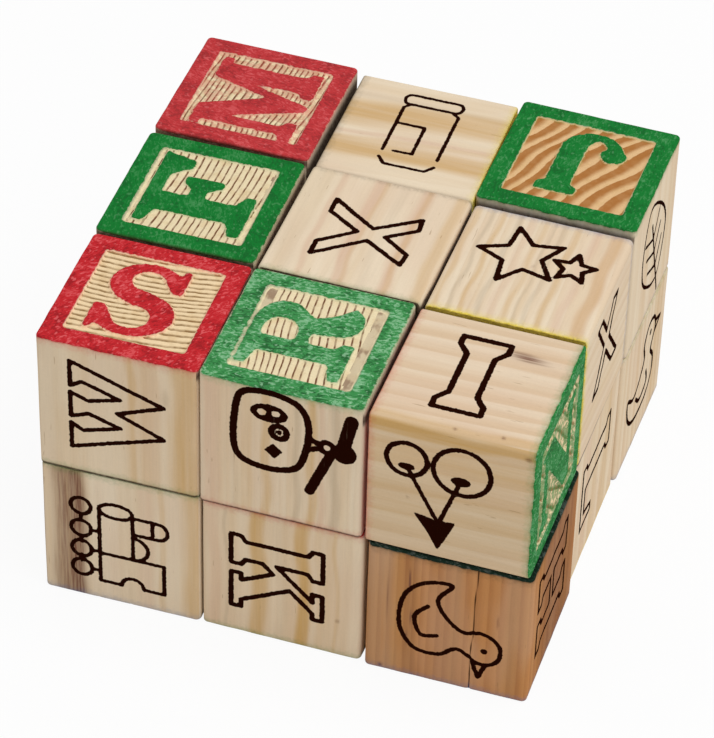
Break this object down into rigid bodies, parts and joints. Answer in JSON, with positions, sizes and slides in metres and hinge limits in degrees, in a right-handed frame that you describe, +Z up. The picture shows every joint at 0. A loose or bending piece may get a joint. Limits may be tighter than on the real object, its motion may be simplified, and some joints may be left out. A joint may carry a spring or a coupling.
{
  "type": "stack of wooden alphabet blocks",
  "caption": "Stack of loose pine alphabet blocks with letters carved in painted relief on the end-grain faces and outline prints on the side faces.",
  "frame": {"origin": "middle of the underside of the middle bottom block, on the surface that the stack stands on", "axes": "+Z up, +X to the right and -Y to the front, along the rows of the stack"},
  "size_m": [0.0922, 0.092, 0.0603],
  "materials": {
    "pine": "bare sanded pine, painted on the carved ends",
    "heartwood": "bare sanded reddish heartwood, painted on the carved ends",
    "ink": "matt brown-black stamped ink"
  },
  "bodies": {
    "block_s": {"block_s": "pine"},
    "block_r": {"block_r": "pine"},
    "block_cherries": {"block_cherries": "pine"},
    "block_f": {"block_f": "pine"},
    "block_x": {"block_x": "pine"},
    "block_star": {"block_star": "pine"},
    "block_m": {"block_m": "pine"},
    "block_jar": {"block_jar": "pine"},
    "block_j": {"block_j": "pine"},
    "block_train": {"block_train": "pine"},
    "block_k": {"block_k": "pine"},
    "block_bird": {"block_bird": "heartwood"},
    "block_low_left": {"block_low_left": "pine"},
    "block_low_middle": {"block_low_middle": "pine"},
    "block_low_right": {"block_low_right": "pine"},
    "block_low_back_left": {"block_low_back_left": "pine"},
    "block_low_back": {"block_low_back": "pine"},
    "block_low_back_right": {"block_low_back_right": "pine"}
  },
  "joints": [
    {"name": "slide_train", "type": "slide", "parent": "block_low_middle", "child": "block_train", "axis": [-0.7071, -0.7071, 0], "range_m": [0, 0.045]},
    {"name": "slide_k", "type": "slide", "parent": "block_low_middle", "child": "block_k", "axis": [0, -1, 0], "range_m": [0, 0.035]},
    {"name": "slide_bird", "type": "slide", "parent": "block_low_middle", "child": "block_bird", "axis": [0.7071, -0.7071, 0], "range_m": [0, 0.045]},
    {"name": "slide_low_left", "type": "slide", "parent": "block_low_middle", "child": "block_low_left", "axis": [-1, 0, 0], "range_m": [0, 0.035]},
    {"name": "slide_low_right", "type": "slide", "parent": "block_low_middle", "child": "block_low_right", "axis": [1, 0, 0], "range_m": [0, 0.035]},
    {"name": "slide_low_back_left", "type": "slide", "parent": "block_low_middle", "child": "block_low_back_left", "axis": [-0.7071, 0.7071, 0], "range_m": [0, 0.045]},
    {"name": "slide_low_back", "type": "slide", "parent": "block_low_middle", "child": "block_low_back", "axis": [0, 1, 0], "range_m": [0, 0.035]},
    {"name": "slide_low_back_right", "type": "slide", "parent": "block_low_middle", "child": "block_low_back_right", "axis": [0.7071, 0.7071, 0], "range_m": [0, 0.045]},
    {"name": "lift_s", "type": "slide", "parent": "block_train", "child": "block_s", "axis": [0, 0, 1], "range_m": [0, 0.035]},
    {"name": "lift_r", "type": "slide", "parent": "block_k", "child": "block_r", "axis": [0, 0, 1], "range_m": [0, 0.035]},
    {"name": "lift_cherries", "type": "slide", "parent": "block_bird", "child": "block_cherries", "axis": [0, 0, 1], "range_m": [0, 0.035]},
    {"name": "lift_f", "type": "slide", "parent": "block_low_left", "child": "block_f", "axis": [0, 0, 1], "range_m": [0, 0.035]},
    {"name": "lift_x", "type": "slide", "parent": "block_low_middle", "child": "block_x", "axis": [0, 0, 1], "range_m": [0, 0.035]},
    {"name": "lift_star", "type": "slide", "parent": "block_low_right", "child": "block_star", "axis": [0, 0, 1], "range_m": [0, 0.035]},
    {"name": "lift_m", "type": "slide", "parent": "block_low_back_left", "child": "block_m", "axis": [0, 0, 1], "range_m": [0, 0.035]},
    {"name": "lift_jar", "type": "slide", "parent": "block_low_back", "child": "block_jar", "axis": [0, 0, 1], "range_m": [0, 0.035]},
    {"name": "lift_j", "type": "slide", "parent": "block_low_back_right", "child": "block_j", "axis": [0, 0, 1], "range_m": [0, 0.035]}
  ]
}
